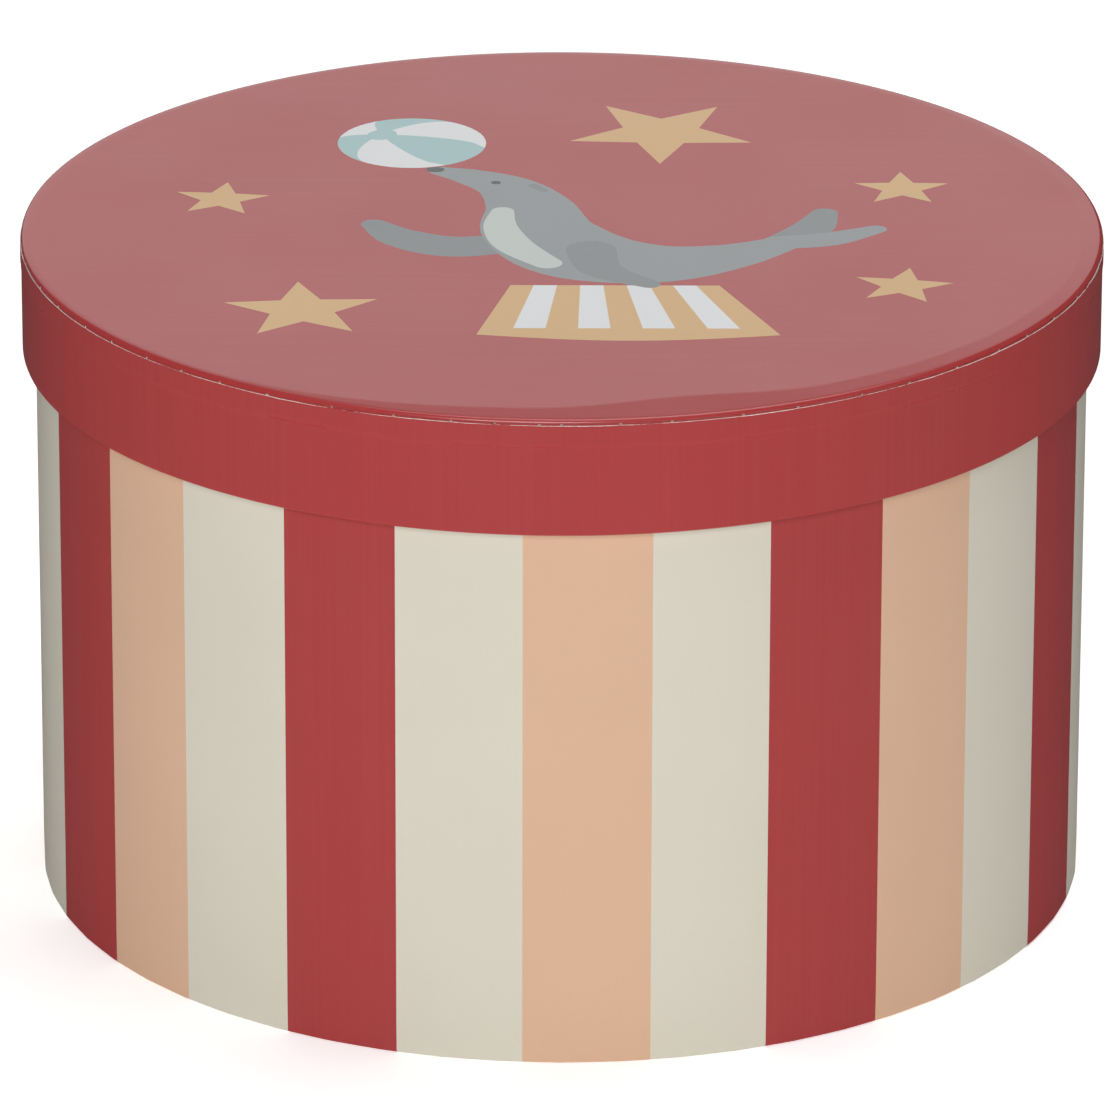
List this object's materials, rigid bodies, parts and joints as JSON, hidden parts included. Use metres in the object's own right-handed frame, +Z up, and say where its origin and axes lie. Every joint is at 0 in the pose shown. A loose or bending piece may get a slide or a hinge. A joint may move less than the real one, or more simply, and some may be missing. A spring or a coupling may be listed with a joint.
{
  "type": "hat box",
  "caption": "Round paper-covered greyboard hat box with a shallow overhanging lid that lifts straight off.",
  "frame": {"origin": "centre of the base, on the surface that the box stands on", "axes": "+Z up along the axis of the round box; the front faces -Y and the glued seams are at the back, near +Y"},
  "size_m": [0.2998, 0.2998, 0.188],
  "materials": {
    "greyboard": "grey-brown recycled greyboard, matte, bare only at the cut ends",
    "kraft_tape": "brown gummed kraft tape, matte",
    "lining_paper": "plain white uncoated lining paper, matte",
    "striped_paper": "printed cover paper with vertical cream, peach and muted red stripes, satin",
    "printed_top_paper": "muted red printed cover paper with a circus motif, satin",
    "red_paper": "muted red printed cover paper with a white raw edge, satin",
    "base_paper": "plain off-white uncoated paper, matte",
    "glue": "dried clear to milky white glue"
  },
  "bodies": {
    "box": {"body_band": "greyboard", "body_joint_tape": "kraft_tape", "body_lining": "lining_paper", "body_wrap": "striped_paper", "base_board": "greyboard", "base_lining": "lining_paper", "base_glue_bead": "glue", "base_paper": "base_paper"},
    "lid": {"lid_band": "greyboard", "lid_joint_tape": "kraft_tape", "lid_band_lining": "lining_paper", "lid_board": "greyboard", "lid_lining": "lining_paper", "lid_glue_bead": "glue", "lid_top_paper": "printed_top_paper", "lid_rim_paper": "red_paper"}
  },
  "joints": [
    {"name": "lid_lift", "type": "slide", "parent": "box", "child": "lid", "axis": [0, 0, 1], "range_m": [0, 0.2]}
  ]
}
